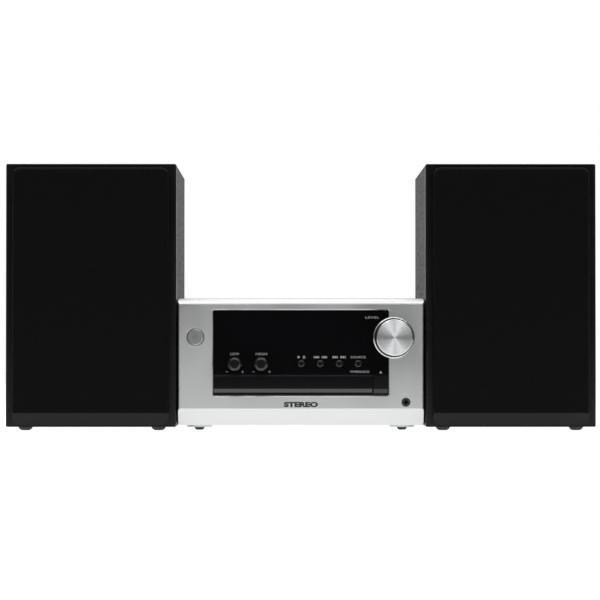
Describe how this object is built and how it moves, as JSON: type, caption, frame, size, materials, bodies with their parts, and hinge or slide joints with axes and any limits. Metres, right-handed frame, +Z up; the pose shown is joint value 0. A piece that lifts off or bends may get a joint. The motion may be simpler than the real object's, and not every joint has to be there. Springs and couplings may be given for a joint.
{
  "type": "mini hifi system",
  "caption": "Compact disc-playing stereo: silver main unit with a black display window and large volume knob, between a pair of black bookshelf speakers with cloth grilles.",
  "frame": {"origin": "on the standing surface, at the middle of the whole set's bounding box", "axes": "+Z up; the front faces -Y; +X to the right as seen from the front"},
  "size_m": [0.5072, 0.267, 0.2292],
  "materials": {
    "case_paint": "satin silver paint over folded steel, fine orange peel",
    "zinc_steel": "zinc-plated folded steel",
    "panel_silver": "satin silver metallic lacquer on a moulding",
    "power_silver": "satin silver metallic lacquer",
    "gloss_black": "polished black moulding",
    "window_black": "polished dark acrylic",
    "display_glass": "fluorescent display tube behind a dark filter",
    "board_green": "glass-fibre board with green solder resist",
    "board_brown": "phenolic paper board",
    "knob_aluminium": "turned face, polished rim",
    "bezel_bright": "bright satin ring",
    "jack_black": "fine moulded texture",
    "socket_black": "fine moulded texture with plated contacts",
    "drive_grey": "moulded, slightly glossy",
    "tray_black": "fine spark-eroded texture",
    "gear_white": "natural acetal",
    "motor_steel": "drawn can, nickel plated",
    "heat_aluminium": "extruded, light anodised",
    "terminal_black": "moulded",
    "lever_black": "moulded",
    "lever_red": "moulded",
    "foot_rubber": "moulded, dusty matt",
    "screw_black": "black zinc",
    "cabinet_black": "fibreboard wrapped in black ash grain foil",
    "baffle_gloss": "fibreboard with polished black lacquer",
    "grille_plastic": "moulded frame",
    "grille_cloth": "fine black knitted cloth, stretched",
    "basket_steel": "black powder coat",
    "cone_paper": "pressed paper with rubber surround",
    "tweeter_black": "satin black plate and dark soft dome",
    "port_black": "moulded",
    "gland_rubber": "moulded"
  },
  "bodies": {
    "main_unit": {"chassis": "zinc_steel", "top_cover": "case_paint", "front_panel": "panel_silver", "fascia_frame": "gloss_black", "display_window": "window_black", "display_module": "display_glass", "control_board": "board_green", "volume_bezel": "bezel_bright", "phones_jack": "jack_black", "loader_frame": "drive_grey", "loading_motor": "motor_steel", "main_board": "board_green", "power_board": "board_brown", "heat_sink": "heat_aluminium", "rear_sockets": "socket_black", "mains_inlet": "socket_black", "terminal_block": "terminal_black", "unit_feet": "foot_rubber", "case_screws": "screw_black"},
    "volume_knob": {"volume_knob": "knob_aluminium"},
    "bass_knob": {"bass_knob": "gloss_black"},
    "treble_knob": {"treble_knob": "gloss_black"},
    "power_button": {"power_button": "power_silver"},
    "play_button": {"play_button": "gloss_black"},
    "skip_back_button": {"skip_back_button": "gloss_black"},
    "skip_forward_button": {"skip_forward_button": "gloss_black"},
    "selector_button": {"selector_button": "gloss_black"},
    "eject_button": {"eject_button": "gloss_black"},
    "disc_tray": {"disc_tray": "tray_black", "tray_flap": "gloss_black"},
    "tray_gear": {"tray_gear": "gear_white"},
    "motor_pinion": {"motor_pinion": "gear_white"},
    "traverse": {"traverse": "drive_grey"},
    "turntable": {"turntable": "drive_grey"},
    "pickup": {"pickup": "drive_grey"},
    "clamp_puck": {"clamp_puck": "drive_grey"},
    "terminal_lever_1": {"terminal_lever_1": "lever_black"},
    "terminal_lever_2": {"terminal_lever_2": "lever_red"},
    "terminal_lever_3": {"terminal_lever_3": "lever_black"},
    "terminal_lever_4": {"terminal_lever_4": "lever_red"},
    "left_speaker": {"left_cabinet": "cabinet_black", "left_baffle": "baffle_gloss", "left_woofer_frame": "basket_steel", "left_tweeter": "tweeter_black", "left_port_tube": "port_black", "left_cord_gland": "gland_rubber", "left_feet": "foot_rubber"},
    "left_grille": {"left_grille_frame": "grille_plastic", "left_grille_cloth": "grille_cloth"},
    "left_woofer_cone": {"left_woofer_cone": "cone_paper"},
    "right_speaker": {"right_cabinet": "cabinet_black", "right_baffle": "baffle_gloss", "right_woofer_frame": "basket_steel", "right_tweeter": "tweeter_black", "right_port_tube": "port_black", "right_cord_gland": "gland_rubber", "right_feet": "foot_rubber"},
    "right_grille": {"right_grille_frame": "grille_plastic", "right_grille_cloth": "grille_cloth"},
    "right_woofer_cone": {"right_woofer_cone": "cone_paper"}
  },
  "joints": [
    {"name": "volume_spin", "type": "hinge", "parent": "main_unit", "child": "volume_knob", "pos_m": [0.0799, -0.1125, 0.0798], "axis": [0, 1, 0], "continuous": true},
    {"name": "bass_spin", "type": "hinge", "parent": "main_unit", "child": "bass_knob", "pos_m": [-0.057, -0.1125, 0.0573], "axis": [0, 1, 0], "range_deg": [-140, 140]},
    {"name": "treble_spin", "type": "hinge", "parent": "main_unit", "child": "treble_knob", "pos_m": [-0.0342, -0.1125, 0.0573], "axis": [0, 1, 0], "range_deg": [-140, 140]},
    {"name": "power_press", "type": "slide", "parent": "main_unit", "child": "power_button", "axis": [0, 1, 0], "range_m": [0, 0.0008], "stiffness_N_per_m": 1500, "springref_m": -0.0003},
    {"name": "play_press", "type": "slide", "parent": "main_unit", "child": "play_button", "axis": [0, 1, 0], "range_m": [0, 0.0008], "stiffness_N_per_m": 1500, "springref_m": -0.0003},
    {"name": "skip_back_press", "type": "slide", "parent": "main_unit", "child": "skip_back_button", "axis": [0, 1, 0], "range_m": [0, 0.0008], "stiffness_N_per_m": 1500, "springref_m": -0.0003},
    {"name": "skip_forward_press", "type": "slide", "parent": "main_unit", "child": "skip_forward_button", "axis": [0, 1, 0], "range_m": [0, 0.0008], "stiffness_N_per_m": 1500, "springref_m": -0.0003},
    {"name": "selector_press", "type": "slide", "parent": "main_unit", "child": "selector_button", "axis": [0, 1, 0], "range_m": [0, 0.0008], "stiffness_N_per_m": 1500, "springref_m": -0.0003},
    {"name": "eject_press", "type": "slide", "parent": "main_unit", "child": "eject_button", "axis": [0, 1, 0], "range_m": [0, 0.0008], "stiffness_N_per_m": 1500, "springref_m": -0.0003},
    {"name": "tray_slide", "type": "slide", "parent": "main_unit", "child": "disc_tray", "axis": [0, -1, 0], "range_m": [0, 0.128]},
    {"name": "tray_gear_spin", "type": "hinge", "parent": "main_unit", "child": "tray_gear", "pos_m": [0.04, -0.0933, 0.038], "axis": [0, 0, 1], "range_deg": [-1050, 0]},
    {"name": "motor_spin", "type": "hinge", "parent": "main_unit", "child": "motor_pinion", "pos_m": [0.04, -0.0777, 0.031], "axis": [0, 0, 1], "range_deg": [0, 3500]},
    {"name": "traverse_tilt", "type": "hinge", "parent": "main_unit", "child": "traverse", "pos_m": [-0.007, 0.0304, 0.031], "axis": [1, 0, 0], "range_deg": [0, 5]},
    {"name": "turntable_spin", "type": "hinge", "parent": "traverse", "child": "turntable", "pos_m": [-0.007, -0.0456, 0.043], "axis": [0, 0, 1], "continuous": true},
    {"name": "pickup_slide", "type": "slide", "parent": "traverse", "child": "pickup", "axis": [0, 1, 0], "range_m": [0, 0.034]},
    {"name": "clamp_spin", "type": "hinge", "parent": "main_unit", "child": "clamp_puck", "pos_m": [-0.007, -0.0456, 0.05], "axis": [0, 0, 1], "continuous": true},
    {"name": "lever_1_press", "type": "hinge", "parent": "main_unit", "child": "terminal_lever_1", "pos_m": [0.022, 0.121, 0.04], "axis": [1, 0, 0], "range_deg": [-18, 0], "stiffness_Nm_per_rad": 0.25, "springref_deg": 5.73},
    {"name": "lever_2_press", "type": "hinge", "parent": "main_unit", "child": "terminal_lever_2", "pos_m": [0.033, 0.121, 0.04], "axis": [1, 0, 0], "range_deg": [-18, 0], "stiffness_Nm_per_rad": 0.25, "springref_deg": 5.73},
    {"name": "lever_3_press", "type": "hinge", "parent": "main_unit", "child": "terminal_lever_3", "pos_m": [0.044, 0.121, 0.04], "axis": [1, 0, 0], "range_deg": [-18, 0], "stiffness_Nm_per_rad": 0.25, "springref_deg": 5.73},
    {"name": "lever_4_press", "type": "hinge", "parent": "main_unit", "child": "terminal_lever_4", "pos_m": [0.055, 0.121, 0.04], "axis": [1, 0, 0], "range_deg": [-18, 0], "stiffness_Nm_per_rad": 0.25, "springref_deg": 5.73},
    {"name": "left_speaker_place", "type": "slide", "parent": "main_unit", "child": "left_speaker", "axis": [-1, 0, 0], "range_m": [0, 0.3]},
    {"name": "left_grille_pull", "type": "slide", "parent": "left_speaker", "child": "left_grille", "axis": [0, -1, 0], "range_m": [0, 0.03]},
    {"name": "left_cone_throw", "type": "slide", "parent": "left_speaker", "child": "left_woofer_cone", "axis": [0, -1, 0], "range_m": [-0.0025, 0.0025], "stiffness_N_per_m": 1200},
    {"name": "right_speaker_place", "type": "slide", "parent": "main_unit", "child": "right_speaker", "axis": [1, 0, 0], "range_m": [0, 0.3]},
    {"name": "right_grille_pull", "type": "slide", "parent": "right_speaker", "child": "right_grille", "axis": [0, -1, 0], "range_m": [0, 0.03]},
    {"name": "right_cone_throw", "type": "slide", "parent": "right_speaker", "child": "right_woofer_cone", "axis": [0, -1, 0], "range_m": [-0.0025, 0.0025], "stiffness_N_per_m": 1200}
  ],
  "couplings": [
    {"joint": "tray_gear_spin", "follows": "tray_slide", "rad_per_m": -142.86},
    {"joint": "motor_spin", "follows": "tray_slide", "rad_per_m": 476.19},
    {"joint": "clamp_spin", "follows": "turntable_spin", "ratio": 1}
  ]
}
